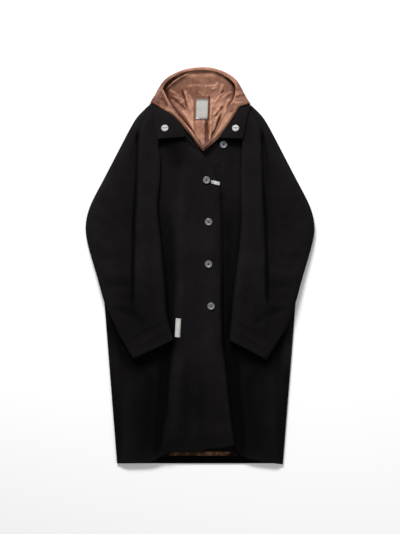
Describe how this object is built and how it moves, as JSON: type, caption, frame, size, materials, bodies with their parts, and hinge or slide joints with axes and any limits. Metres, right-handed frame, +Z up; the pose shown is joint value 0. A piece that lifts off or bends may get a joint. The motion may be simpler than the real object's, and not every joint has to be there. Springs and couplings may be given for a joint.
{
  "type": "hooded balmacaan coat laid flat",
  "caption": "Knee-length wool coat with raglan sleeves, turned-down collar and a nylon hood, laid flat and buttoned, with its sleeves folded over the front.",
  "frame": {"origin": "on the surface that the coat lies on, at the middle of the coat's length and breadth", "axes": "+X to the viewer's right (the wearer's left), +Y from the hem towards the hood, +Z up from the surface"},
  "size_m": [0.6916, 1.1911, 0.0488],
  "materials": {
    "wool": "black napped wool",
    "nylon": "copper-brown nylon with a soft sheen",
    "label": "white woven tape, bare",
    "button": "grey horn-like plastic"
  },
  "bodies": {
    "root": {"back": "wool", "front_right": "wool", "front_left": "wool", "sleeve_right": "wool", "sleeve_left": "wool", "collar_right": "wool", "collar_left": "wool", "collar_back": "wool", "hood": "nylon", "lining_hem": "nylon", "neck_label": "label", "label_bar": "label", "label_tab": "label", "button_1": "button", "button_2": "button", "button_3": "button", "button_4": "button", "button_5": "button"}
  },
  "joints": []
}
